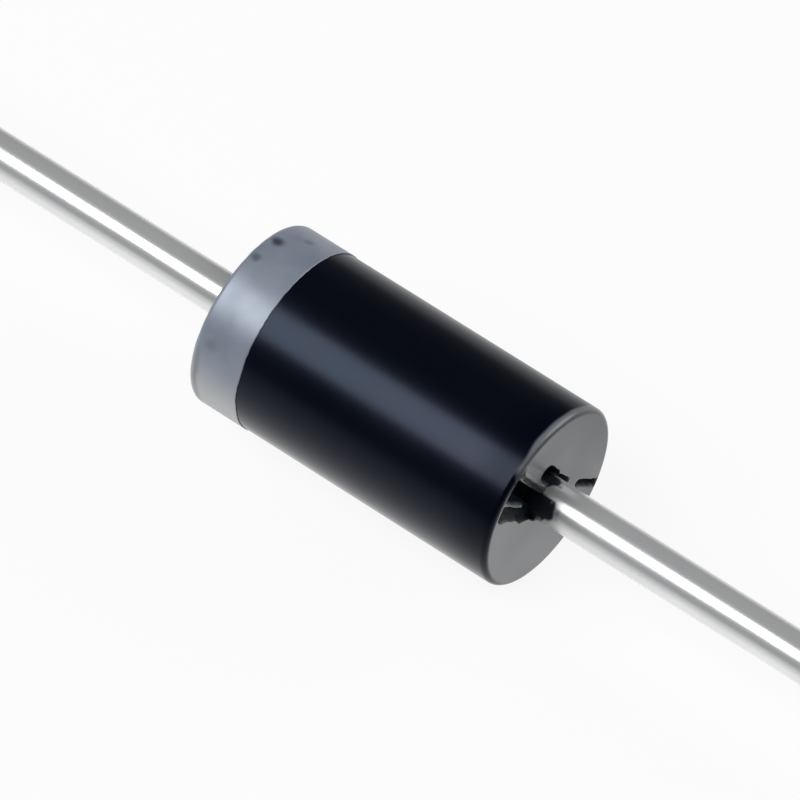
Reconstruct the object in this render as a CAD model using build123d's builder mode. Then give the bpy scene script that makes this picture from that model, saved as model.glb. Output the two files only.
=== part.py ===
# Axial rectifier diode: a moulded case with a wire lead out of each end and a band at the cathode end.
# The origin is the middle of the case. +X runs along the axis to the anode lead, and +Z is up.
# Lengths are in millimetres and turns in degrees.

import os
from math import cos, radians, sin, sqrt

from build123d import *

os.makedirs("parts", exist_ok=True)

# Moulded case
body_diameter = 5.15
body_length = 9.5
rim_radius = 0.16        # rounding where the side meets an end face

# Cathode band, printed round the case and over its rim
band_width = 1.54        # from the cathode end face
ink_thickness = 0.02
ink_wrap = 50            # turn of the rim's rounding that the ink covers

# Leads, each a wire with a cold-headed end inside the case
lead_diameter = 1.2
lead_length = 25.4       # outside the case
lead_end_chamfer = 0.06
shank_diameter = 1.36    # the wire swells to this just behind its head
neck_flare = 0.25        # from the shank to the back of the head
head_diameter = 2.7
head_thickness = 0.45
head_chamfer = 0.08

# Silicon die, with the anode on its smaller face
die_side = 2.2           # across the cathode face
die_thickness = 0.28
die_lean = 0.12          # how far each sawn side leans in towards the anode face

# Solder between the die and the two heads
solder_thickness = 0.07
solder_street = 0.08     # bare silicon left round the solder
solder_corner = 0.6      # the corners draw in towards the round head
solder_flare = 35        # how far its edge leans out towards the head

# Silicone bead that seals the edges of the die
bead_cover = 0.2         # over the widest of what it seals
bead_lap = 0.25          # along each head's rim

# Broken gate on the anode face. The gate stood on the mould's parting line, out from the axis at
# gate_turn from +Y. Along is out from the axis towards the gate, and across is square to that.
gate_turn = 120.9
scar_lip = 0.03          # face left whole inside the rounded rim
patch_inner_width = 0.62
patch_rim_width = 1.26
patch_inner_depth = 0.14
patch_rim_depth = 0.2
tear_width = 0.38        # deeper channel torn beside the parting line
tear_inner_depth = 0.4
tear_rim_depth = 0.48

# Island left standing in the patch
chip_place = (1.58, 0.62)
chip_length = 1.2
chip_width = 0.14
chip_sink = 0.09         # from the face down to its top
chip_turn = 12

# Pit torn beside the lead on the other side of the parting line
pit_place = (0.72, -0.52)
pit_length = 1.0
pit_width = 0.44
pit_depth = 0.3
pit_turn = 3

# Groove that runs on from the pit, past the lead
groove_place = (0.05, -0.56)
groove_length = 1.2
groove_width = 0.24
groove_depth = 0.25
groove_turn = 6

# Scratch on the far side of the lead
scratch_place = (-1.65, -0.84)
scratch_length = 1.15
scratch_width = 0.2
scratch_depth = 0.2
scratch_turn = 14

# Flash left standing along the parting line
flash_base = 0.2
flash_height = 0.06
flash_across = -0.16
flash_start = -0.95

body_radius = body_diameter / 2
lead_radius = lead_diameter / 2
shank_radius = shank_diameter / 2
head_radius = head_diameter / 2
end_x = body_length / 2
head_face_x = die_thickness / 2 + solder_thickness
head_back_x = head_face_x + head_thickness
lead_end_x = end_x + lead_length


# Leads

with BuildPart() as anode_lead:
    with BuildSketch():
        with BuildLine():
            Polyline(
                (head_face_x, 0),
                (head_face_x, head_radius - head_chamfer),
                (head_face_x + head_chamfer, head_radius),
                (head_back_x - head_chamfer, head_radius),
                (head_back_x, head_radius - head_chamfer),
                (head_back_x, shank_radius + neck_flare),
                (head_back_x + neck_flare, shank_radius),
                (end_x, lead_radius),
                (lead_end_x - lead_end_chamfer, lead_radius),
                (lead_end_x, lead_radius - lead_end_chamfer),
                (lead_end_x, 0),
                close=True,
            )
        make_face()
    revolve(axis=Axis.X)

with BuildPart() as cathode_lead:
    mirror(anode_lead.part, about=Plane.YZ)


# Silicon die

anode_side = die_side - 2 * die_lean
cathode_face_plane = Plane.YZ.offset(-die_thickness / 2)
anode_face_plane = Plane.YZ.offset(die_thickness / 2)

with BuildPart() as silicon_die:
    with BuildSketch(cathode_face_plane):
        Rectangle(die_side, die_side)
    with BuildSketch(anode_face_plane):
        Rectangle(anode_side, anode_side)
    loft()


# Solder, from each face of the die to the head behind it

anode_pad = anode_side - 2 * solder_street
cathode_pad = die_side - 2 * solder_street

with BuildPart() as anode_solder:
    with BuildSketch(anode_face_plane):
        RectangleRounded(anode_pad, anode_pad, solder_corner)
    extrude(amount=solder_thickness, taper=-solder_flare)

with BuildPart() as cathode_solder:
    with BuildSketch(-cathode_face_plane):
        RectangleRounded(cathode_pad, cathode_pad, solder_corner)
    extrude(amount=solder_thickness, taper=-solder_flare)


# Silicone bead round the die, held between the heads

die_corner_radius = die_side / sqrt(2)
bead_radius = max(die_corner_radius, head_radius) + bead_cover
bead_end_x = head_face_x + bead_lap

with BuildPart() as junction_coating:
    with BuildSketch():
        with BuildLine():
            crown = ThreePointArc((-bead_end_x, head_radius), (0, bead_radius), (bead_end_x, head_radius))
            Polyline(crown @ 1, (bead_end_x, 0), (-bead_end_x, 0), crown @ 0)
        make_face()
    revolve(axis=Axis.X)
    for sealed in (anode_lead, cathode_lead, silicon_die, anode_solder, cathode_solder):
        add(sealed.part, mode=Mode.SUBTRACT)


# Broken gate. The anode face's plane runs along, then across, and points out of the case. The gate's
# section plane holds the axis and the gate: it runs along, then out of the case.

along_direction = (0, cos(radians(gate_turn)), sin(radians(gate_turn)))
anode_face = Plane(origin=(end_x, 0, 0), x_dir=along_direction, z_dir=(1, 0, 0))
gate_section = Plane(origin=(end_x, 0, 0), x_dir=along_direction, z_dir=-anode_face.y_dir)
past_rim = body_radius + rim_radius
scar_radius = body_radius - rim_radius - scar_lip


def broken_hollow(inner_width, rim_width, inner_depth, rim_depth):
    # A hollow from the axis to the lip, with a floor that slopes evenly from the one depth to the other.
    with BuildPart() as hollow:
        with BuildSketch(gate_section):
            with BuildLine():
                Polyline((0, 1), (0, -inner_depth), (past_rim, -rim_depth), (past_rim, 1), close=True)
            make_face()
        extrude(amount=body_radius, both=True)
        with BuildSketch(anode_face):
            with BuildLine():
                Polyline((0, 0), (past_rim, 0), (past_rim, rim_width), (0, inner_width), close=True)
            make_face()
            Circle(scar_radius, mode=Mode.INTERSECT)
        extrude(amount=body_radius, both=True, mode=Mode.INTERSECT)
    return hollow.part


def slot_into_face(place, length, width, turn, top, bottom):
    # A slot square to the anode face, between two depths below it.
    with BuildPart() as slot:
        with BuildSketch(anode_face.offset(-top)):
            with Locations(place):
                SlotOverall(length, width, rotation=turn)
        extrude(amount=top - bottom)
    return slot.part


chip = slot_into_face(chip_place, chip_length, chip_width, chip_turn, chip_sink, patch_rim_depth)
pit = slot_into_face(pit_place, pit_length, pit_width, pit_turn, 0, pit_depth)
groove = slot_into_face(groove_place, groove_length, groove_width, groove_turn, 0, groove_depth)
scratch = slot_into_face(scratch_place, scratch_length, scratch_width, scratch_turn, 0, scratch_depth)

with BuildPart() as gate_patch:
    add(broken_hollow(patch_inner_width, patch_rim_width, patch_inner_depth, patch_rim_depth))
    add(chip, mode=Mode.SUBTRACT)
    add(broken_hollow(tear_width, tear_width, tear_inner_depth, tear_rim_depth))

flash_origin = anode_face.from_local_coords((flash_start, flash_across, 0))

with BuildPart() as flash:
    with BuildSketch(Plane(flash_origin, x_dir=anode_face.y_dir, z_dir=along_direction)):
        with BuildLine():
            Polyline((-flash_base / 2, 0), (flash_base / 2, 0), (0, flash_height), close=True)
        make_face()
    extrude(amount=scar_radius - flash_start)


# Moulded case, closed tight round everything inside it

with BuildPart() as moulded_body:
    Cylinder(body_radius, body_length, rotation=(0, 90, 0))
    fillet(edges().filter_by(GeomType.CIRCLE), rim_radius)
    add(flash.part)
    for broken_away in (gate_patch.part, pit, groove, scratch):
        add(broken_away, mode=Mode.SUBTRACT)
    for inside in (anode_lead, cathode_lead, silicon_die, anode_solder, cathode_solder, junction_coating):
        add(inside.part, mode=Mode.SUBTRACT)


# Cathode band

band_edge_x = band_width - end_x
rim_centre = (rim_radius - end_x, body_radius - rim_radius)

with BuildPart() as cathode_band:
    with BuildSketch():
        with BuildLine():
            under = CenterArc(rim_centre, rim_radius, 90, ink_wrap)
            over = CenterArc(rim_centre, rim_radius + ink_thickness, 90, ink_wrap)
            Line(under @ 1, over @ 1)
            Polyline(
                under @ 0,
                (band_edge_x, body_radius),
                (band_edge_x, body_radius + ink_thickness),
                over @ 0,
            )
        make_face()
    revolve(axis=Axis.X)


# Names and files

pieces = {
    "moulded_body": moulded_body,
    "cathode_band": cathode_band,
    "anode_lead": anode_lead,
    "cathode_lead": cathode_lead,
    "silicon_die": silicon_die,
    "anode_solder": anode_solder,
    "cathode_solder": cathode_solder,
    "junction_coating": junction_coating,
}
for name, piece in pieces.items():
    piece.part.label = name
    export_step(piece.part, f"parts/{name}.step")
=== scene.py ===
# Looks of a moulded axial diode: turned surfaces with a broken gate, printed ink, drawn tin wire
import math

import bpy
import numpy as np
from mathutils import Matrix, Vector


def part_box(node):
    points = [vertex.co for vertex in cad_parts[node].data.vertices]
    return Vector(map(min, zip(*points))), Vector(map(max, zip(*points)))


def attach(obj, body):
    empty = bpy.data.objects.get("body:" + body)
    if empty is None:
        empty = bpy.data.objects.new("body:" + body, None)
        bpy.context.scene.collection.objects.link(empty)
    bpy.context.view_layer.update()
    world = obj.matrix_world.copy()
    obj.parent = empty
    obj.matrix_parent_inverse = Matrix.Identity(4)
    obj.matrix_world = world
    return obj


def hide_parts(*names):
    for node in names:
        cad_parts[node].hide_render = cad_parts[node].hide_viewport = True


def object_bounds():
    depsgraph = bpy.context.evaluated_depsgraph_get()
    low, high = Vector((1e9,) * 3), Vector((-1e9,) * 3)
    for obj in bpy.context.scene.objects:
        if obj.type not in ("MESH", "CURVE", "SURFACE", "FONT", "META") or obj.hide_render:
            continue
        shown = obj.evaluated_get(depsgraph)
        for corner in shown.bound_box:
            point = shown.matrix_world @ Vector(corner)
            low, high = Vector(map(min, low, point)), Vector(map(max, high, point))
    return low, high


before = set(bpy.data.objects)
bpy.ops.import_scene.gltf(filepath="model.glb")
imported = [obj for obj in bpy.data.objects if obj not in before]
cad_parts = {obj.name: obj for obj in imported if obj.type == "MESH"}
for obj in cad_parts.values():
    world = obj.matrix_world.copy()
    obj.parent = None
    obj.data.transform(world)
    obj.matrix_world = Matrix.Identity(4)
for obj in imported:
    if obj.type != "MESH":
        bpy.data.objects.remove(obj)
cadLow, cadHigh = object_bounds()
mm = 0.001  # the sizes below are in millimetres and the meshes in metres


# Camera

camera = {
    "azimuth": 38.3,  # degrees round from looking along +Y
    "elevation": 52.7,
    "distance": 250.0,
    "pixelsPerMm": 39.67,  # at the middle of the case
    "imageSide": 800,
    "sensor": 36.0,
    "caseRight": -0.8,  # pixels from the image's middle to the middle of the case
    "caseDown": 5.0,
}


def addCamera():
    # looks at the case from the photo's angle, so far off that a millimetre there spans pixelsPerMm
    az, el = math.radians(camera["azimuth"]), math.radians(camera["elevation"])
    back = Vector((math.sin(az) * math.cos(el), -math.cos(az) * math.cos(el), math.sin(el)))
    right = Vector((math.cos(az), math.sin(az), 0))
    up = back.cross(right)
    aim = (up * camera["caseDown"] - right * camera["caseRight"]) / camera["pixelsPerMm"] * mm
    data = bpy.data.cameras.new("photoCamera")
    data.sensor_width = camera["sensor"]
    data.lens = camera["pixelsPerMm"] * camera["distance"] / camera["imageSide"] * camera["sensor"]
    data.clip_start, data.clip_end = 0.01, 10
    eye = bpy.data.objects.new("photoCamera", data)
    eye.location = aim + back * camera["distance"] * mm
    eye.rotation_mode = "QUATERNION"
    eye.rotation_quaternion = back.to_track_quat("Z", "Y")
    bpy.context.scene.collection.objects.link(eye)
    bpy.context.scene.camera = eye


addCamera()
print("camera placed")


# Meshes from grids of points

def quadsOf(index, wrapRows):
    # each cell joins a point to its next row and column; the columns close round the axis
    corner = index if wrapRows else index[:-1]
    below = np.roll(index, -1, 0) if wrapRows else index[1:]
    cells = np.stack([corner, below, np.roll(below, -1, 1), np.roll(corner, -1, 1)], -1)
    return cells.reshape(-1, 4)


def addPiece(name, points, material, wrapRows=False, capped=False, attributes=None):
    # points is rows x columns x 3 in millimetres; capped closes the first and last rows with a fan each
    rows, columns = points.shape[:2]
    flat = points.reshape(-1, 3)
    index = np.arange(rows * columns).reshape(rows, columns)
    quads = quadsOf(index, wrapRows)
    corners, starts = quads.ravel(), np.arange(len(quads)) * 4
    if capped:
        flat = np.vstack([flat, points[0].mean(0), points[-1].mean(0)])
        first, last = np.full(columns, rows * columns), np.full(columns, rows * columns + 1)
        fans = np.vstack([
            np.stack([first, index[0], np.roll(index[0], -1)], 1),
            np.stack([last, np.roll(index[-1], -1), index[-1]], 1),
        ])
        starts = np.r_[starts, len(corners) + np.arange(len(fans)) * 3]
        corners = np.r_[corners, fans.ravel()]
    mesh = bpy.data.meshes.new(name)
    mesh.vertices.add(len(flat))
    mesh.vertices.foreach_set("co", (flat * mm).astype(np.float32).ravel())
    mesh.loops.add(len(corners))
    mesh.loops.foreach_set("vertex_index", corners.astype(np.int32))
    mesh.polygons.add(len(starts))
    mesh.polygons.foreach_set("loop_start", starts.astype(np.int32))
    mesh.update(calc_edges=True)
    mesh.validate()
    for label, values in (attributes or {}).items():
        layer = mesh.attributes.new(label, "FLOAT", "POINT")
        padded = np.zeros(len(flat), np.float32)
        padded[:values.size] = values.ravel()
        if capped:
            padded[values.size:] = values[0].mean(), values[-1].mean()
        layer.data.foreach_set("value", padded)
    mesh.shade_smooth()
    mesh.materials.append(material)
    piece = bpy.data.objects.new(name, mesh)
    bpy.context.scene.collection.objects.link(piece)
    print(name, len(mesh.polygons), "faces")
    return piece


def turned(x, r, angle):
    # surface of revolution: a point of the profile at (x, r) goes to (x, r cos angle, r sin angle)
    return np.stack([x + 0 * r * angle, r * np.cos(angle), r * np.sin(angle)], -1)


def polyline(*points, step, crisp=0.0):
    # straight runs between the points, with a new point at least every step. Where crisp isn't 0 there
    # is one that close to each corner, so that the corner shades sharp.
    pieces = []
    for start, end in zip(points[:-1], points[1:]):
        start, end = np.array(start, float), np.array(end, float)
        length = np.linalg.norm(end - start)
        count = max(1, math.ceil(length / step))
        share = np.arange(count) / count
        if crisp:
            share = np.unique(np.r_[share, crisp / length, 1 - crisp / length])
        pieces.append(start + (end - start) * share[:, None])
    return np.vstack(pieces)


def arc(centre, radius, start, turn, count):
    # points on a circle about centre, from start over turn degrees, without the last one
    angle = np.radians(start + turn * np.arange(count) / count)
    return np.stack([centre[0] + radius * np.cos(angle), centre[1] + radius * np.sin(angle)], 1)


def ease(low, high, value):
    # 0 below low, 1 above high, and 3t^2 - 2t^3 between them
    t = np.clip((value - low) / (high - low), 0, 1)
    return t * t * (3 - 2 * t)


def ripples(u, v, wavelength, seed, waves=24):
    # sum of plane waves of about one wavelength in seeded directions, with a spread of about one
    rng = np.random.default_rng(seed)
    total = np.zeros(np.broadcast(u, v).shape)
    headings = rng.uniform(0, 2 * np.pi, waves)
    phases = rng.uniform(0, 2 * np.pi, waves)
    stretches = rng.uniform(0.7, 1.4, waves)
    for heading, phase, stretch in zip(headings, phases, stretches):
        k = 2 * np.pi / (wavelength * stretch)
        total += np.sin(k * (u * math.cos(heading) + v * math.sin(heading)) + phase)
    return total * math.sqrt(2 / waves)


def around(angle, count, seed):
    # sum of a few whole-number waves round the axis, about count of them, so that it closes on itself
    rng = np.random.default_rng(seed)
    waves = rng.integers(max(1, count // 2), 2 * count, 8)
    phases = rng.uniform(0, 2 * np.pi, 8)
    return sum(np.sin(wave * angle + phase) for wave, phase in zip(waves, phases)) / 2


# Materials

def newMaterial(name):
    # a new material with its nodes, its links, its shader and the object coordinates
    material = bpy.data.materials.new(name)
    material.use_nodes = True
    nodes, links = material.node_tree.nodes, material.node_tree.links
    place = nodes.new("ShaderNodeTexCoord")
    return material, nodes, links, nodes["Principled BSDF"], place.outputs["Object"]


def noise(nodes, links, place, scale, detail=3.0, stretch=(1, 1, 1)):
    # fractal noise over object coordinates, stretched per axis
    mapping = nodes.new("ShaderNodeMapping")
    mapping.inputs["Scale"].default_value = stretch
    links.new(place, mapping.inputs["Vector"])
    texture = nodes.new("ShaderNodeTexNoise")
    texture.inputs["Scale"].default_value = scale
    texture.inputs["Detail"].default_value = detail
    links.new(mapping.outputs["Vector"], texture.inputs["Vector"])
    return texture.outputs["Fac"]


def ramp(nodes, links, value, low, high, dark, light):
    # a straight change from dark to light as value goes from low to high
    change = nodes.new("ShaderNodeMapRange")
    change.inputs["From Min"].default_value = low
    change.inputs["From Max"].default_value = high
    change.inputs["To Min"].default_value = dark
    change.inputs["To Max"].default_value = light
    links.new(value, change.inputs["Value"])
    return change.outputs["Result"]


def blend(nodes, links, share, one, other):
    # one gives way to other as share goes from 0 to 1; each is a number, a colour or a node's output
    mix = nodes.new("ShaderNodeMix")
    isColour = any(isinstance(value, tuple) or getattr(value, "type", "") == "RGBA"
                   for value in (one, other))
    mix.data_type = "RGBA" if isColour else "FLOAT"
    first = 6 if isColour else 2
    links.new(share, mix.inputs[0])
    for socket, value in zip(mix.inputs[first:first + 2], (one, other)):
        if isinstance(value, tuple):
            socket.default_value = (*value, 1)
        elif isinstance(value, float):
            socket.default_value = value
        else:
            links.new(value, socket)
    return mix.outputs[2 if isColour else 0]


def addBump(nodes, links, height, distance):
    # normals of a surface raised by height times distance, in metres
    bump = nodes.new("ShaderNodeBump")
    bump.inputs["Distance"].default_value = distance
    links.new(height, bump.inputs["Height"])
    return bump.outputs["Normal"]


def mask(nodes, name):
    # one of the mesh's own attributes, from 0 to 1
    part = nodes.new("ShaderNodeAttribute")
    part.attribute_name = name
    return part.outputs["Fac"]


epoxy = {
    "side": (0.0002, 0.0006, 0.0034),
    "flow": (0.0006, 0.0014, 0.0050),  # where the resin flowed
    "face": (0.024, 0.028, 0.034),  # the two ends, painted paler than the side as the light they reflect
    "faceLight": (0.064, 0.065, 0.067),  # painted light: the lower part of the ends lighter
    "fracture": (0.042, 0.045, 0.048),
    # painted shade in the scar's hollows
    "recessShade": (0.006, 0.009, 0.014),
    "rimLight": (0.150, 0.156, 0.168),  # painted highlight, pale along part of the anode rim
    "flash": (0.026, 0.029, 0.035),
    "flowScale": 700.0,
    "flowStretch": (0.35, 1, 1),
    "sheen": (0.58, 0.74, 1.0),  # tint of its mirror reflection
    "sheenDrift": (0.66, 0.72, 1.0),  # which wanders slowly to this
    "driftScale": 260.0,
    "sideSheen": 0.28,
    "dullSheen": 0.19,  # towards the anode end
    "faceSheen": 0.48,
    "faceLightSheen": 0.78,
    "flashSheen": 0.45,
    "faceTint": (0.92, 0.97, 1.0),
    "scarSheen": 0.12,
    "roughLow": 0.23,
    "roughHigh": 0.28,
    "scarRough": 0.7,
    "ior": 1.5,
    "grainScale": 16000.0,
    "grainHeight": 0.0000012,
}


def epoxyMaterial():
    material, nodes, links, shader, place = newMaterial("mouldedEpoxy")
    names = ("face", "scar", "recessShade", "flash", "faceLight", "dull", "rimLight")
    face, scarred, recessShade, flash, faceLight, dull, rimLight = (mask(nodes, name) for name in names)
    flow = noise(nodes, links, place, epoxy["flowScale"], 4.0, epoxy["flowStretch"])
    colour = blend(nodes, links, flow, epoxy["side"], epoxy["flow"])
    # The ends are painted paler than the side, and lighter towards their lower part, as painted light;
    # part of the anode rim is painted pale as a highlight, and the scar's hollows are painted dark as
    # shade.
    skin = blend(nodes, links, faceLight, epoxy["face"], epoxy["faceLight"])
    colour = blend(nodes, links, face, colour, skin)
    for share, name in ((rimLight, "rimLight"), (flash, "flash"), (scarred, "fracture"), (recessShade, "recessShade")):
        colour = blend(nodes, links, share, colour, epoxy[name])
    links.new(colour, shader.inputs["Base Color"])

    rough = ramp(nodes, links, flow, 0.3, 0.7, epoxy["roughLow"], epoxy["roughHigh"])
    links.new(blend(nodes, links, scarred, rough, epoxy["scarRough"]), shader.inputs["Roughness"])

    sheen = blend(nodes, links, dull, epoxy["sideSheen"], epoxy["dullSheen"])
    skinSheen = ramp(nodes, links, faceLight, 0, 1, epoxy["faceSheen"], epoxy["faceLightSheen"])
    sheen = blend(nodes, links, face, sheen, skinSheen)
    for share, level in ((flash, epoxy["flashSheen"]), (scarred, epoxy["scarSheen"]), (recessShade, 0.0)):
        sheen = blend(nodes, links, share, sheen, level)
    links.new(sheen, shader.inputs["Specular IOR Level"])
    drift = noise(nodes, links, place, epoxy["driftScale"], 2.0)
    drift = ramp(nodes, links, drift, 0.35, 0.65, 0, 1)
    tint = blend(nodes, links, drift, epoxy["sheen"], epoxy["sheenDrift"])
    links.new(blend(nodes, links, face, tint, epoxy["faceTint"]), shader.inputs["Specular Tint"])

    grain = noise(nodes, links, place, epoxy["grainScale"], 2.0)
    links.new(addBump(nodes, links, grain, epoxy["grainHeight"]), shader.inputs["Normal"])
    shader.inputs["IOR"].default_value = epoxy["ior"]
    return material


ink = {
    "colour": (0.262, 0.296, 0.356),
    "thin": (0.198, 0.230, 0.294),
    "pale": (0.400, 0.410, 0.415),  # painted light: paler on the lower near side, for the floor it reflects
    # worn spots, and the painted shade line beside the rim
    "bare": (0.012, 0.014, 0.020),
    "metallic": 0.18,
    "ior": 1.75,
    "roughLow": 0.37,
    "roughHigh": 0.43,
    "cloudScale": 900.0,
    "fleckScale": 14000.0,
    "fleckHeight": 0.0000015,
}


def inkMaterial():
    material, nodes, links, shader, place = newMaterial("printedInk")
    cloud = noise(nodes, links, place, ink["cloudScale"], 5.0)
    even = ramp(nodes, links, cloud, 0.35, 0.65, 0, 1)
    base = blend(nodes, links, even, ink["thin"], ink["colour"])
    # painted light: the ink paler on its lower near side
    base = blend(nodes, links, mask(nodes, "pale"), base, ink["pale"])
    # worn spots, and a painted shade line beside the rim
    links.new(blend(nodes, links, mask(nodes, "wearAndShade"), base, ink["bare"]), shader.inputs["Base Color"])
    rough = ramp(nodes, links, cloud, 0.3, 0.7, ink["roughHigh"], ink["roughLow"])
    links.new(rough, shader.inputs["Roughness"])
    fleck = noise(nodes, links, place, ink["fleckScale"], 3.0)
    links.new(addBump(nodes, links, fleck, ink["fleckHeight"]), shader.inputs["Normal"])
    shader.inputs["Metallic"].default_value = ink["metallic"]
    shader.inputs["IOR"].default_value = ink["ior"]
    return material


tin = {
    "colour": (0.74, 0.74, 0.735),
    "dull": (0.68, 0.68, 0.68),
    "copper": (0.66, 0.36, 0.24),  # core, bared where the wire is cut
    "baseShade": (0.013, 0.017, 0.023),  # painted shade: dark where the wire's base mirrors the broken gate
    "roughLow": 0.20,
    "roughHigh": 0.28,
    "metallic": 0.58,
    "baseShadeSheen": 0.1,
    "smudgeScale": 500.0,
    "smudgeStretch": (0.4, 1, 1),
    "drawScale": 9000.0,
    "drawStretch": (0.02, 1, 1),  # fine lines along the wire
    "drawHeight": 0.000001,
}


def tinMaterial():
    material, nodes, links, shader, place = newMaterial("tinnedWire")
    smudge = noise(nodes, links, place, tin["smudgeScale"], 5.0, tin["smudgeStretch"])
    lines = noise(nodes, links, place, tin["drawScale"], 3.0, tin["drawStretch"])
    dulled = ramp(nodes, links, smudge, 0.35, 0.7, 0, 1)
    colour = blend(nodes, links, dulled, tin["colour"], tin["dull"])
    colour = blend(nodes, links, mask(nodes, "cut"), colour, tin["copper"])
    # painted shade at the wire's base, dark and dull where it mirrors the broken gate
    baseShaded = mask(nodes, "baseShade")
    links.new(blend(nodes, links, baseShaded, colour, tin["baseShade"]), shader.inputs["Base Color"])
    rough = ramp(nodes, links, smudge, 0.3, 0.7, tin["roughLow"], tin["roughHigh"])
    links.new(rough, shader.inputs["Roughness"])
    links.new(addBump(nodes, links, lines, tin["drawHeight"]), shader.inputs["Normal"])
    links.new(blend(nodes, links, baseShaded, tin["metallic"], 0.0), shader.inputs["Metallic"])
    links.new(blend(nodes, links, baseShaded, 0.5, tin["baseShadeSheen"]), shader.inputs["Specular IOR Level"])
    return material


inner = {
    "silicon": {
        "colour": (0.16, 0.17, 0.19),
        "second": (0.22, 0.23, 0.26),
        "rough": 0.25,
        "metallic": 0.6,
        "scale": 3000.0,
    },
    "solder": {
        "colour": (0.60, 0.60, 0.61),
        "second": (0.45, 0.45, 0.46),
        "rough": 0.45,
        "metallic": 1.0,
        "scale": 4000.0,
    },
    "silicone": {
        "colour": (0.82, 0.82, 0.80),
        "second": (0.74, 0.74, 0.71),
        "rough": 0.5,
        "metallic": 0.0,
        "scale": 1500.0,
    },
}
innerGrain = 0.000003  # metres


def innerMaterial(name):
    finish = inner[name]
    material, nodes, links, shader, place = newMaterial(name)
    cloud = noise(nodes, links, place, finish["scale"], 4.0)
    colour = blend(nodes, links, cloud, finish["colour"], finish["second"])
    links.new(colour, shader.inputs["Base Color"])
    links.new(addBump(nodes, links, cloud, innerGrain), shader.inputs["Normal"])
    shader.inputs["Roughness"].default_value = finish["rough"]
    shader.inputs["Metallic"].default_value = finish["metallic"]
    return material


epoxyLook, inkLook, tinLook = epoxyMaterial(), inkMaterial(), tinMaterial()
print("materials made")


# Sizes taken from the frame, in millimetres

def span(node):
    # the two corners of a node's box
    low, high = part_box(node)
    return np.array(low) / mm, np.array(high) / mm


bodyLow, bodyHigh = span("moulded_body")
bandLow, bandHigh = span("cathode_band")
leadLow, leadHigh = span("anode_lead")
beadLow, beadHigh = span("junction_coating")
endX = -bodyLow[0]
caseRadius = bodyHigh[1]
inkRadius = bandHigh[1]
headRadius = leadHigh[1]
headFaceX = leadLow[0]
leadEndX = leadHigh[0]
beadRadius, beadEndX = beadHigh[1], beadHigh[0]
bandEdgeX = bandHigh[0]
gateTurn = math.radians(120.9)  # of the mould's parting line, round X from +Y


# Leads

wire = {
    "radius": 0.6,
    "shankRadius": 0.68,
    "neckFlare": 0.25,
    "headThickness": 0.45,
    "headChamfer": 0.08,
    "endChamfer": 0.06,
    "columns": 96,
    "step": 0.4,
    "foot": 1.0,  # length with closer rows, where the painted shade at the base lies
    "footStep": 0.04,
    "waver": 0.0025,  # unevenness of the drawn wire
    "waverWave": 5.0,
    "waverStart": (0.3, 2.0),  # how far from the case it sets in
    "waverStop": (1.0, 0.2),  # and how far from the cut end it dies out
    "crisp": 0.008,
    "copperRadius": 0.49,  # of the core at a cut end
    "copperFade": 0.02,
    "cutStart": (0.004, 0.001),  # how far from the cut end its look sets in
    "copperSmear": 0.01,
    "innerRing": 0.3,  # radius of the first row on the head's flat face
    "cutRings": (0.4, 0.02),  # and of the last ones on the cut end
}

# Painted shade at the anode wire's base, where it mirrors the dark broken gate
baseShade = {
    "turn": (-80, -60, -43, -20, -6, -2, 10, 36, 58, 84, 92),  # degrees from the gate
    "reach": (0.0, 0.24, 0.30, -0.06, -0.06, 0.42, 0.57, 0.66, 0.34, 0.06, -0.06),  # up the lead
    "ragged": 0.04,
    "raggedWave": 0.5,
    "soft": 0.11,
    "below": 0.55,  # how far into the case it starts, deeper than the scar
    "belowFade": 0.2,
}


def shankRadiusAt(x):
    # straight cone from the shank behind the head to the wire at the end face
    headBackX = headFaceX + wire["headThickness"]
    share = np.clip((x - headBackX - wire["neckFlare"]) / (endX - headBackX - wire["neckFlare"]), 0, 1)
    return wire["shankRadius"] + share * (wire["radius"] - wire["shankRadius"])


def leadProfile():
    # outline from the head's flat face, round the head, down its neck and along the wire to the cut end
    backX = headFaceX + wire["headThickness"]
    chamfer, flare = wire["headChamfer"], wire["neckFlare"]
    inside = polyline(
        (headFaceX, wire["innerRing"]),
        (headFaceX, headRadius - chamfer),
        (headFaceX + chamfer, headRadius),
        (backX - chamfer, headRadius),
        (backX, headRadius - chamfer),
        (backX, wire["shankRadius"] + flare),
        (backX + flare, wire["shankRadius"]),
        (endX, wire["radius"]),
        step=wire["step"],
    )
    footEnd = (endX + wire["foot"], wire["radius"])
    foot = polyline((endX, wire["radius"]), footEnd, step=wire["footStep"])
    outside = polyline(
        footEnd,
        (leadEndX - wire["endChamfer"], wire["radius"]),
        (leadEndX, wire["radius"] - wire["endChamfer"]),
        (leadEndX, wire["cutRings"][0]),
        (leadEndX, wire["cutRings"][1]),
        step=wire["step"],
        crisp=wire["crisp"],
    )
    return np.vstack([inside, foot, outside, (leadEndX, wire["cutRings"][1])])


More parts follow.
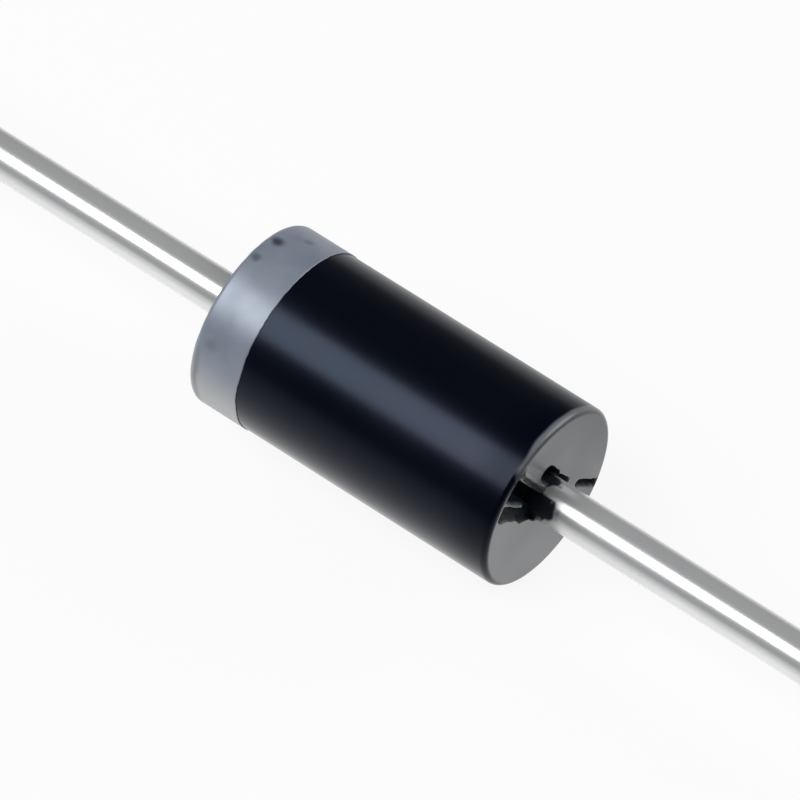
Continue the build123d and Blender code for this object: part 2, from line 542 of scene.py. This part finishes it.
def leadSurface(side, seed):
    # the profile turned about X, its radius wavering by a few micrometres along and round the wire, and
    # mirrored for the cathode side. The painted shade at the base ends where x passes its reach for that
    # turn of the wire.
    profile = leadProfile()
    x, r = profile[:, :1], profile[:, 1:]
    angle = 2 * np.pi * np.arange(wire["columns"])[None, :] / wire["columns"]
    start, stop, cutStart = wire["waverStart"], wire["waverStop"], wire["cutStart"]
    drawn = ease(endX + start[0], endX + start[1], x)
    drawn = drawn * (1 - ease(leadEndX - stop[0], leadEndX - stop[1], x))
    r = r + drawn * wire["waver"] * ripples(x, 1.2 * np.cos(angle + seed), wire["waverWave"], seed)

    core = wire["copperRadius"] + wire["copperSmear"] * around(angle, 7, seed)
    fade = wire["copperFade"]
    cut = ease(leadEndX - cutStart[0], leadEndX - cutStart[1], x) * (1 - ease(-fade, fade, r - core))

    fromGate = np.degrees(np.angle(np.exp(1j * (angle - gateTurn))))
    reach = np.interp(fromGate, baseShade["turn"], baseShade["reach"], left=-1, right=-1)
    reach = reach + baseShade["ragged"] * ripples(3 * x, angle, baseShade["raggedWave"], seed)
    baseShaded = (1 - ease(-baseShade["soft"], baseShade["soft"], x - endX - reach)) * (side > 0)
    baseShaded = baseShaded * ease(endX - baseShade["below"] - baseShade["belowFade"], endX - baseShade["below"], x)

    surface, masks = turned(x, r, angle), {"cut": cut, "baseShade": baseShaded}
    if side < 0:
        return surface * (-1, 1, 1), masks
    return surface[:, ::-1], {name: values[:, ::-1] for name, values in masks.items()}


def addLead(name, node, side, seed):
    surface, masks = leadSurface(side, seed)
    lead = addPiece(name, surface, tinLook, capped=True, attributes=masks)
    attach(lead, "root")
    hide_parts(node)


addLead("anodeLead", "anode_lead", 1, 3)
addLead("cathodeLead", "cathode_lead", -1, 8)


# Case with its broken gate

case = {
    "rimRadius": 0.16,
    "mouth": 0.03,  # chamfered corner round each lead
    "columns": 384,
    "crowding": 0.35,  # how much closer the columns stand at the gate
    "faceRows": 112,
    "plainRows": 22,
    "sideRows": 40,
    "rimRows": 8,
    "crownRows": 10,
    "hollowStep": 0.3,
    "holeStep": 0.5,
    # painted light: away from the scar's side an end's paler skin reaches over the rim
    "skinStart": (0.05, 0.85),  # share of the rim's rounding where an end's skin sets in, and how much
    "skinStop": (0.75, 0.25),  # later on the scar's side; then the same for where it is whole
    "rimLightLevel": 1.0,  # how strong the painted highlight on the rim is
    "rimLightStart": (-0.45, 0.15),  # it sets in and ends between these shares of the rim's rounding
    "rimLightStop": (0.55, 1.0),
    "rimLightAcross": (0.0, 0.3),  # and sets in this far from the parting line
    "rimLightWaver": 0.05,
    "rimLightWave": 0.8,
    "rimLightSpread": 0.45,  # how much further along the side the painted highlight reaches close to the parting line
    "spreadAcross": (0.3, 1.5),
    "dullRun": (1.5, 0.4),  # from the anode face, where the side's sheen drops
}

scar = {
    "lip": 0.03,
    "patchWidths": (0.62, 1.26),  # beside the lead and at the rim
    "patchDepths": (0.14, 0.2),
    "tearWidth": 0.38,
    "tearDepths": (0.4, 0.48),
    "pit": ((1.0, -0.505), (0.44, -0.535), 0.22, 0.3),  # two ends, half the width, depth
    "groove": ((0.53, -0.51), (-0.43, -0.61), 0.12, 0.25),
    "scratch": ((-1.19, -0.725), (-2.11, -0.955), 0.1, 0.2),
    "chip": ((1.06, 0.51), (2.1, 0.73), 0.07),  # island left standing in the patch
    "chipLoss": 0.5,  # share of the patch's depth that is missing at the island
    "edge": 0.04,  # how far a broken edge takes to fall
    "axisEdge": 0.05,  # how far the patch takes to set in at the axis
    "lipEdge": 0.03,  # and to end at the lip
    "ragged": 0.011,
    "raggedWaves": (0.7, 0.22),
    "relief": 0.014,  # roughness of the broken ground
    "reliefWave": 0.4,
    "shadeEnds": (0.45, 1.05),  # across the patch, where its painted shade gives way to pale
    "flashHeight": 0.05,
    "flashAcross": -0.16,
    "flashWidth": 0.1,
    "flashStart": (-1.0, -0.8),  # along, past the lead
    "flashEnd": 0.1,  # how long it takes to run out at the lip
    "grooveDark": 0.5,  # how much painted shade it gets, where the tear and the pit get 1
    "scratchDark": 0.8,
    "patchPale": 0.7,  # what the patch's painted shade loses past shadeEnds
    "chipPale": 0.8,
}

# Painted light on the anode face: lighter and shinier towards its lower part
faceLight = {
    "level": 0.45,
    "slope": 0.27,  # gain for each millimetre across
    "cloud": 0.12,
    "cloudWave": 1.6,
    "gap": 0.35,  # painted shade: what is taken from it in a stripe beside the parting line
    "gapAcross": -0.5,
    "gapWidth": 0.4,
}


def distanceToRun(u, v, start, end):
    # distance from each (u, v) to the straight run between two points
    start, end = np.array(start), np.array(end)
    run = end - start
    t = np.clip(((u - start[0]) * run[0] + (v - start[1]) * run[1]) / (run @ run), 0, 1)
    return np.hypot(u - start[0] - t * run[0], v - start[1] - t * run[1])


def scarHeight(along, across):
    # height of the anode face: sunk in the patch, the tear, the groove and the scratch, raised at the
    # flash. Each is a soft-edged mask times its depth, and broken ground adds ripples of two wavelengths.
    # The flash is a bell curve across the parting line. With the height go the masks for the looks, among
    # them painted shade in the hollows and painted light on the face.
    radius = np.hypot(along, across)
    edge, (longWave, shortWave) = scar["edge"], scar["raggedWaves"]
    jag = ripples(along, across, longWave, 11) + 0.2 * ripples(along, across, shortWave, 12)
    jag = scar["ragged"] * jag
    share = np.clip(along / caseRadius, 0, 1)
    lipRadius = caseRadius - case["rimRadius"] - scar["lip"]

    def between(pair):
        # changes evenly from the first value at the axis to the second at the case's side
        return pair[0] + share * (pair[1] - pair[0])

    def gouge(start, end, half):
        # 1 within half the width of a straight run, with a ragged, soft edge
        apart = distanceToRun(along, across, start, end) + jag
        return 1 - ease(half - edge, half + edge / 2, apart)

    sector = ease(-scar["axisEdge"], scar["axisEdge"], along)
    sector = sector * ease(-edge / 2, edge / 2, across + 0.5 * jag)
    sector = sector * (1 - ease(lipRadius - scar["lipEdge"], lipRadius, radius))
    patch = sector * (1 - ease(-edge, edge, across - between(scar["patchWidths"]) + 2 * jag))
    tear = sector * (1 - ease(-edge, edge, across - scar["tearWidth"] + 1.5 * jag))
    gouges = [(gouge(*scar[name][:3]), scar[name][3]) for name in ("pit", "groove", "scratch")]
    pit, groove, scratch = (shape for shape, depth in gouges)
    chip = gouge(*scar["chip"])
    patch = patch * (1 - scar["chipLoss"] * chip)
    broken = np.maximum.reduce([patch, tear, pit, groove, scratch])

    sunk = [shape * depth for shape, depth in gouges]
    sunk = sunk + [patch * between(scar["patchDepths"]), tear * between(scar["tearDepths"])]
    wave = scar["reliefWave"]
    relief = ripples(along, across, wave, 5) + 0.4 * ripples(along, across, wave / 2.6, 6)
    relief = scar["relief"] * relief
    flash = np.exp(-((across - scar["flashAcross"] - 0.5 * jag) / scar["flashWidth"]) ** 2)
    flash = flash * (1 - ease(lipRadius - scar["flashEnd"], lipRadius, along))
    flash = flash * ease(*scar["flashStart"], along) * (1 - broken)
    height = broken * relief - np.maximum.reduce(sunk) + scar["flashHeight"] * flash

    # painted light on the face, lighter further across, with a painted shade stripe beside the parting
    # line
    cloud = faceLight["level"] + faceLight["slope"] * across
    cloud = cloud + faceLight["cloud"] * ripples(along, across, faceLight["cloudWave"], 41)
    cloud = cloud - faceLight["gap"] * np.exp(-((across - faceLight["gapAcross"]) / faceLight["gapWidth"]) ** 2)
    # Painted shade in the hollows: full in the tear and pit, less in the groove and scratch, and in the
    # patch fading out across it.
    shade = patch * (1 - scar["patchPale"] * ease(*scar["shadeEnds"], across)) * (1 - chip)
    dark = [tear, pit, scar["grooveDark"] * groove, scar["scratchDark"] * scratch, shade]
    return height, {
        "scar": np.clip(3 * broken, 0, 1) * (1 - scar["chipPale"] * chip),
        "recessShade": np.maximum.reduce(dark),
        "flash": flash,
        "faceLight": np.clip(cloud, 0, 1),
    }


def caseSection():
    # closed outline of half the case: cathode face, rim, side, rim, anode face, then back through the
    # hollow. With it go the first row of the anode face and the counts of rows on it and in the hole.
    rim, mouth, r0 = case["rimRadius"], case["mouth"], wire["radius"]
    flatR = caseRadius - rim
    plain = polyline((-endX, r0 + mouth), (-endX, flatR), step=(flatR - r0) / case["plainRows"])
    nearRim = arc((rim - endX, flatR), rim, 180, -90, case["rimRows"])
    shoulderX = endX - 3 * rim
    side = polyline((rim - endX, caseRadius), (shoulderX, caseRadius), step=2 * endX / case["sideRows"])
    shoulder = polyline((shoulderX, caseRadius), (endX - rim, caseRadius), step=rim / 4)
    farRim = arc((endX - rim, flatR), rim, 90, -90, case["rimRows"])
    face = polyline((endX, flatR), (endX, r0 + mouth), step=(flatR - r0) / case["faceRows"])
    backX = headFaceX + wire["headThickness"]
    chamfer, flare, shank = wire["headChamfer"], wire["neckFlare"], wire["shankRadius"]
    innerEnd, outerEnd = (backX + flare, shank), (endX, r0 + mouth)
    hole = polyline(outerEnd, (endX - mouth, r0), innerEnd, step=case["holeStep"])
    seat = polyline(
        (backX + flare, shank),
        (backX, shank + flare),
        (backX, headRadius - chamfer),
        (backX - chamfer, headRadius),
        (beadEndX, headRadius),
        step=case["hollowStep"],
    )
    sag = beadRadius - headRadius
    crownRadius = (beadEndX ** 2 + sag ** 2) / (2 * sag)
    half = math.degrees(math.asin(beadEndX / crownRadius))
    crownPlace = (0, beadRadius - crownRadius)
    crown = arc(crownPlace, crownRadius, 90 - half, 2 * half, case["crownRows"])
    backSeat = np.vstack([seat, (beadEndX, headRadius)])[:0:-1] * (-1, 1)
    innerEnd, outerEnd = (-backX - flare, shank), (-endX, r0 + mouth)
    backHole = polyline(innerEnd, (mouth - endX, r0), outerEnd, step=case["holeStep"])
    before = [plain, nearRim, side, shoulder, farRim]
    section = np.vstack([*before, face, hole, seat, crown, backSeat, backHole])
    return section, sum(len(part) for part in before), len(face), len(hole)


def caseSurface():
    # the section turned about X, its columns at turn - crowding * sin(turn) from the gate. The anode face
    # is raised and sunk by the scar, and the hole's wall is drawn back with it, so that both still meet.
    section, faceStart, faceCount, holeCount = caseSection()
    turn = 2 * np.pi * np.arange(case["columns"]) / case["columns"]
    fromGate = turn - case["crowding"] * np.sin(turn)
    angle = (fromGate + gateTurn)[None, :]
    x = np.repeat(section[:, :1], case["columns"], 1)
    r = np.repeat(section[:, 1:], case["columns"], 1)
    rows = slice(faceStart, faceStart + faceCount)
    height, found = scarHeight(r[rows] * np.cos(fromGate), r[rows] * np.sin(fromGate))
    x[rows] += height

    holeRows = slice(faceStart + faceCount, faceStart + faceCount + holeCount)
    wireRadius = wire["radius"]
    mouthHeight, mouthFound = scarHeight(wireRadius * np.cos(fromGate), wireRadius * np.sin(fromGate))
    innerX = section[holeRows][-1, 0]
    depth = (x[holeRows] - innerX) / (endX - innerX)
    x[holeRows] += depth * mouthHeight
    mouthRadius = wireRadius + case["mouth"] * (1 - mouthFound["scar"])
    r[holeRows] = np.where(depth > 0.999, mouthRadius, shankRadiusAt(x[holeRows]))
    masks = {name: np.zeros_like(x) for name in found}
    for name in found:
        masks[name][rows] = found[name]
        masks[name][holeRows] = mouthFound[name]

    # The ends' skin, painted paler as the light they reflect, fades out over the rounded rims, sooner on
    # one side of the parting line; on the other it reaches further over the rim as painted light. There
    # the anode rim is also painted pale as a highlight, a little way along the case too.
    rimShare = (np.abs(section[:, :1]) - endX) / case["rimRadius"] + 1
    outside = section[:, 1:] > wireRadius + case["mouth"] / 2
    across = section[:, 1:] * np.sin(fromGate)
    kept = ease(-0.1, 0.1, across)
    skinStart = case["skinStart"][0] + case["skinStart"][1] * kept
    skinStop = case["skinStop"][0] + case["skinStop"][1] * kept
    masks["face"] = outside * ease(skinStart, skinStop, rimShare)
    # painted highlight: the anode rim pale on one side of the parting line
    wavy = ripples(r * np.cos(angle), r * np.sin(angle), case["rimLightWave"], 31)
    wavy = rimShare + case["rimLightWaver"] * wavy
    wavy = wavy - case["rimLightSpread"] * (1 - ease(*case["spreadAcross"], -across))
    rimLit = ease(*case["rimLightStart"], wavy) * (1 - ease(*case["rimLightStop"], rimShare))
    rimLit = rimLit * ease(*case["rimLightAcross"], -across)
    masks["rimLight"] = case["rimLightLevel"] * rimLit * (section[:, :1] > 0)
    dullStart, dullEnd = case["dullRun"]
    masks["dull"] = ease(endX - dullStart, endX - dullEnd, section[:, :1]) + 0 * x
    return turned(x, r, angle), masks


surface, masks = caseSurface()
masks = {name: values[:, ::-1] for name, values in masks.items()}
caseBody = addPiece("mouldedCase", surface[:, ::-1], epoxyLook, wrapRows=True, attributes=masks)
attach(caseBody, "root")
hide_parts("moulded_body")


# Printed band

band = {
    "columns": 360,
    "wrap": 50.0,
    "sideRows": 46,
    "wrapRows": 9,
    "ragged": 0.006,
    "wrapShort": 5,  # degrees that the ink stops short of its wrap
    "wrapRagged": 2,
    "rimShade": 0.42,  # painted shade on the ink in a line beside the rim
    "rimShadeTurns": (0.5, 0.9, 1.7, 2.2),  # where that painted shade lies, in radians from the gate
    "rimShadeWidth": 0.08,
    "rimShadeWaver": 0.01,
    "paleTurns": (0.45, 1.3, 2.0, 2.8),  # where that painted light on the ink lies
    "bareSpots": (  # x, turn from +Y, radius and depth of wear
        (-4.42, 75.6, 0.27, 0.85),
        (-4.50, 92.7, 0.20, 0.55),
        (-3.88, 60.0, 0.20, 0.35),
        (-4.30, 150.0, 0.24, 0.25),
        (-4.52, 216.0, 0.20, 0.5),
        (-3.80, 300.0, 0.25, 0.4),
    ),
    "spotRagged": 0.12,
    "spotWave": 0.5,
    "spotFade": (0.2, 1.0),  # shares of the spot's radius
}


def window(turns, angle):
    # rises from 0 to 1 between the first two turns and falls back between the last two
    return ease(turns[0], turns[1], angle) * (1 - ease(turns[2], turns[3], angle))


def bandSurface():
    # closed strip round the case: out along its outer face, over the rim, and back along the case.
    # Its two ends waver with the angle. A spot's wear falls off with the distance from its middle, and
    # the painted shade in a line beside the rim is a bell curve along X.
    rim = case["rimRadius"]
    angle = 2 * np.pi * np.arange(band["columns"])[None, :] / band["columns"]
    edge = bandEdgeX + band["ragged"] * (around(angle, 9, 21) + 0.5 * around(angle, 40, 22) - 1)
    wrap = np.radians(band["wrap"] - band["wrapShort"] + band["wrapRagged"] * around(angle, 25, 23))
    cornerX = rim - endX
    t = np.linspace(0, 1, band["sideRows"])[:, None]
    sideX = edge + (cornerX - edge) * t
    lean = wrap * np.linspace(0, 1, band["wrapRows"] + 1)[1:, None]
    x = np.vstack([sideX, cornerX - rim * np.sin(lean)])
    underR = np.vstack([caseRadius + 0 * sideX, caseRadius - rim + rim * np.cos(lean)])
    nx = np.vstack([0 * sideX, -np.sin(lean)])
    nr = np.vstack([1 + 0 * sideX, np.cos(lean)])

    bare = np.zeros_like(x)
    for spotX, spotTurn, spotRadius, wear in band["bareSpots"]:
        spin = np.angle(np.exp(1j * (angle - math.radians(spotTurn))))
        gap = np.hypot(x - spotX, caseRadius * spin) / spotRadius
        gap = gap + band["spotRagged"] * ripples(x, caseRadius * spin, band["spotWave"], 24)
        bare = np.maximum(bare, wear * (1 - ease(*band["spotFade"], gap)))
    fromGate = np.angle(np.exp(1j * (angle - gateTurn)))
    # painted shade in a line beside the rim
    width = band["rimShadeWidth"]
    past = (x - cornerX - 0.6 * width + band["rimShadeWaver"] * around(angle, 12, 26)) / width
    line = band["rimShade"] * window(band["rimShadeTurns"], fromGate) * np.exp(-past ** 2)
    bare = np.maximum(bare, line)
    # painted light on the ink's lower near side
    pale = 0 * x + window(band["paleTurns"], fromGate)

    thick = inkRadius - caseRadius
    over = turned(x + nx * thick, underR + nr * thick, angle)
    under = turned(x, underR, angle)
    masks = {"wearAndShade": np.vstack([bare, bare[::-1]]), "pale": np.vstack([pale, pale[::-1]])}
    return np.concatenate([over, under[::-1]]), masks


surface, masks = bandSurface()
bandPiece = addPiece("inkBand", surface, inkLook, wrapRows=True, attributes=masks)
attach(bandPiece, "root")
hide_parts("cathode_band")


# Sealed pieces inside the case keep their solids

for node, look, slot in (
    ("silicon_die", "silicon", "silicon"),
    ("anode_solder", "solder", "solder"),
    ("cathode_solder", "solder", "solder"),
    ("junction_coating", "silicone", "silicone"),
):
    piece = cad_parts[node]
    piece.data.materials.clear()
    piece.data.materials.append(bpy.data.materials.get(look) or innerMaterial(look))
print("inner pieces finished")


# Floor, lamps and surroundings

studio = {
    "floorSide": 3.0,
    "floorColour": (0.86, 0.86, 0.86),
    "floorMottle": 0.985,  # how much darker the paper's darkest parts are
    "floorScale": 60.0,
    "floorRough": 0.9,
    "floorGlow": 0.90,  # share of the floor that the camera sees as plain white
    "floorFar": 0.4,  # brightness of the floor in mirror rays far off
    "floorNear": 0.0043,  # and what it gains close to the diode
    "floorReach": 0.0015,
    "floorTop": 1.25,  # and the most that it can be
    "keySize": (0.34, 0.25),
    "keyDistance": 0.4,
    "keyRadiance": 5.1,
    "keyColour": (0.96, 0.98, 1.0),
    "keyTurn": 119.6,  # degrees round X from +Y
    "keyLean": -0.376,  # its direction along X
    "fillDirection": (0.56, 0.70, 0.42),
    "fillSize": (0.30, 0.30),
    "fillDistance": 0.4,
    "fillRadiance": 3.4,
    "fillColour": (1, 1, 1),
    "ambient": 0.12,
    "mirroredRoom": 0.12,  # how bright the room is in mirror rays
}


def addLamp(name, direction, distance, size, radiance, colour):
    # a soft box that faces the diode; power is radiance times area times pi
    direction = Vector(direction).normalized()
    data = bpy.data.lights.new(name, "AREA")
    data.shape = "RECTANGLE"
    data.size, data.size_y = size
    data.energy = radiance * size[0] * size[1] * math.pi
    data.color = colour
    lamp = bpy.data.objects.new(name, data)
    across = (Vector((1, 0, 0)) - direction * direction.x).normalized()
    lamp.matrix_world = Matrix((across, direction.cross(across), direction)).transposed().to_4x4()
    lamp.location = direction * distance
    bpy.context.scene.collection.objects.link(lamp)


def addFloor():
    # pale paper that the camera sees as white. In mirror rays it glows by near / (distance + reach) +
    # far, with the distance measured sideways from the diode's axis.
    half, z = studio["floorSide"] / 2, cadLow.z
    mesh = bpy.data.meshes.new("floor")
    corners = [(-half, -half, z), (half, -half, z), (half, half, z), (-half, half, z)]
    mesh.from_pydata(corners, [], [(0, 1, 2, 3)])
    material, nodes, links, shader, place = newMaterial("paleFloor")
    paper = noise(nodes, links, place, studio["floorScale"], 3.0)
    pale = studio["floorColour"]
    darker = tuple(level * studio["floorMottle"] for level in pale)
    links.new(blend(nodes, links, paper, pale, darker), shader.inputs["Base Color"])
    shader.inputs["Roughness"].default_value = studio["floorRough"]

    def calculate(operation, first, second):
        step = nodes.new("ShaderNodeMath")
        step.operation = operation
        for socket, value in zip(step.inputs, (first, second)):
            if isinstance(value, float):
                socket.default_value = value
            else:
                links.new(value, socket)
        return step.outputs[0]

    path = nodes.new("ShaderNodeLightPath")
    cameraRay, mirrorRay = path.outputs["Is Camera Ray"], path.outputs["Is Glossy Ray"]
    apart = nodes.new("ShaderNodeSeparateXYZ")
    links.new(place, apart.inputs[0])
    away = calculate("ABSOLUTE", apart.outputs["Y"], 0.0)
    away = calculate("ADD", away, studio["floorReach"])
    mirrored = calculate("DIVIDE", studio["floorNear"], away)
    mirrored = calculate("ADD", mirrored, studio["floorFar"])
    mirrored = calculate("MINIMUM", mirrored, studio["floorTop"])
    strength = calculate("MAXIMUM", cameraRay, calculate("MULTIPLY", mirrorRay, mirrored))
    share = calculate("ADD", calculate("MULTIPLY", cameraRay, studio["floorGlow"]), mirrorRay)
    glow = nodes.new("ShaderNodeEmission")
    links.new(strength, glow.inputs["Strength"])
    mix = nodes.new("ShaderNodeMixShader")
    links.new(share, mix.inputs[0])
    links.new(shader.outputs[0], mix.inputs[1])
    links.new(glow.outputs[0], mix.inputs[2])
    links.new(mix.outputs[0], nodes["Material Output"].inputs["Surface"])
    mesh.materials.append(material)
    floor = bpy.data.objects.new("floor", mesh)
    bpy.context.scene.collection.objects.link(floor)


def addWorld():
    # dim room for the light, plain white where the camera looks past the floor
    world = bpy.data.worlds.new("studio")
    world.use_nodes = True
    nodes, links = world.node_tree.nodes, world.node_tree.links
    room = nodes["Background"]
    room.inputs["Color"].default_value = (1, 1, 1, 1)
    white = nodes.new("ShaderNodeBackground")
    white.inputs["Color"].default_value = (1, 1, 1, 1)
    path = nodes.new("ShaderNodeLightPath")
    mirrorRay = path.outputs["Is Glossy Ray"]
    level = ramp(nodes, links, mirrorRay, 0, 1, studio["ambient"], studio["mirroredRoom"])
    links.new(level, room.inputs["Strength"])
    mix = nodes.new("ShaderNodeMixShader")
    links.new(path.outputs["Is Camera Ray"], mix.inputs[0])
    links.new(room.outputs[0], mix.inputs[1])
    links.new(white.outputs[0], mix.inputs[2])
    links.new(mix.outputs[0], nodes["World Output"].inputs["Surface"])
    bpy.context.scene.world = world


def roundTheAxis(turn, lean):
    # direction with a given lean along X and turn about it
    spin, flat = math.radians(turn), math.sqrt(1 - lean ** 2)
    return lean, flat * math.cos(spin), flat * math.sin(spin)


for name, direction, colour in (
    ("key", roundTheAxis(studio["keyTurn"], studio["keyLean"]), studio["keyColour"]),
    ("fill", studio["fillDirection"], studio["fillColour"]),
):
    distance, size, radiance = (studio[name + part] for part in ("Distance", "Size", "Radiance"))
    addLamp(name + "Box", direction, distance, size, radiance, colour)
addFloor()
addWorld()
bpy.context.scene.view_settings.view_transform = "Standard"
print("studio lit")
